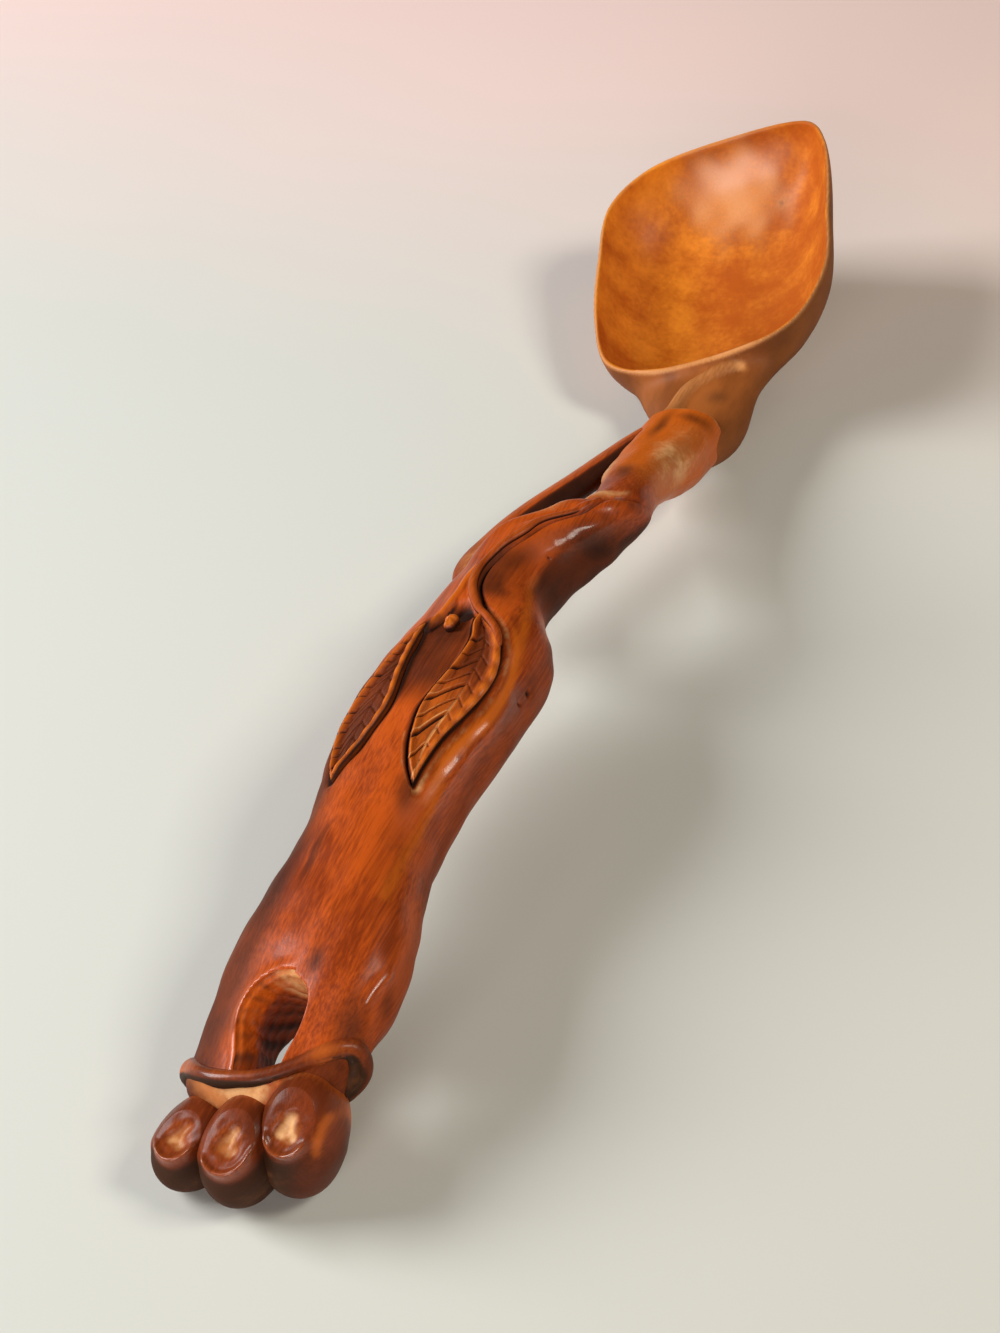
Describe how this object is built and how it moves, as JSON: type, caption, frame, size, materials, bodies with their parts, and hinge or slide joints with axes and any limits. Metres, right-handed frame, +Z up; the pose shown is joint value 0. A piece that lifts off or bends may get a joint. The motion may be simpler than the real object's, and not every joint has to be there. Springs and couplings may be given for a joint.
{
  "type": "wooden ladle",
  "caption": "Hand-carved wooden ladle with a leaf-shaped bowl on a gnarled branch handle, carved with a vine, leaves, a free side strand and a cluster of buds at the hanging slot.",
  "frame": {"origin": "middle of the small flat under the bowl, on the table's surface", "axes": "+X from the buds at the handle's end towards the bowl, +Y to the left of the handle, +Z up from the table"},
  "size_m": [0.2815, 0.0564, 0.039],
  "materials": {
    "bowl_wood": "oiled and polished honey-coloured wood",
    "handle_wood": "oiled and rubbed red-brown wood with a satin gloss",
    "carved_wood": "carved wood with dark ground and lighter worn ridges",
    "bud_wood": "oiled red-brown wood with pale worn hollows"
  },
  "bodies": {
    "root": {"bowl": "bowl_wood", "handle": "handle_wood", "side_strand": "handle_wood", "vine_stem": "carved_wood", "leaf_right": "carved_wood", "leaf_left": "carved_wood", "vine_bud": "carved_wood", "wrist_band": "bud_wood", "bud_left": "bud_wood", "bud_middle": "bud_wood", "bud_right": "bud_wood"}
  },
  "joints": []
}
